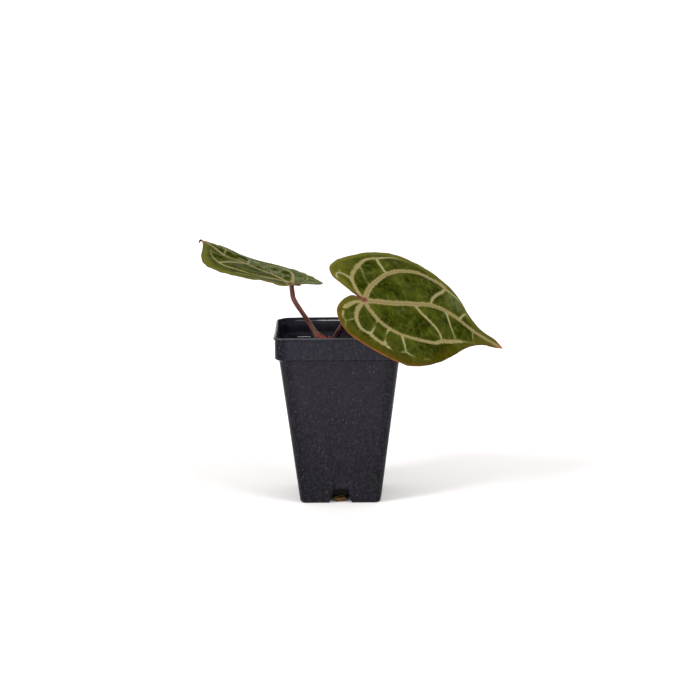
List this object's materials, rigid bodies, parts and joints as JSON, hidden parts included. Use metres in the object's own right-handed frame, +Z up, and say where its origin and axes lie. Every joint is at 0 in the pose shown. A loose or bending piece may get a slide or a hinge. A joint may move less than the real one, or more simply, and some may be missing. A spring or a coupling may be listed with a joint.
{
  "type": "potted plant",
  "caption": "Small potted anthurium: heart-shaped velvety leaves with pale veins on thin red-brown stalks, in a deep square tapered dark plastic nursery pot of potting mix.",
  "frame": {"origin": "centre of the pot's underside, on the surface that the pot stands on", "axes": "+Z up; -Y is the side that the picture faces; +X is to the right there, along the plant's longest extent"},
  "size_m": [0.155, 0.0876, 0.1293],
  "materials": {
    "pot_plastic": "satin charcoal, fine pale specks",
    "potting_mix": "matt, crumbly bark and peat",
    "crown_stem": "matt, ringed by old leaf scars",
    "stalk_skin": "satin red-brown",
    "leaf_blade": "velvety green with pale veins",
    "sheath_skin": "thin, satin red"
  },
  "bodies": {
    "root": {"pot": "pot_plastic", "potting_mix": "potting_mix", "crown": "crown_stem", "stalk_left": "stalk_skin", "stalk_right": "stalk_skin", "blade_left": "leaf_blade", "blade_right": "leaf_blade", "sheath": "sheath_skin"}
  },
  "joints": []
}
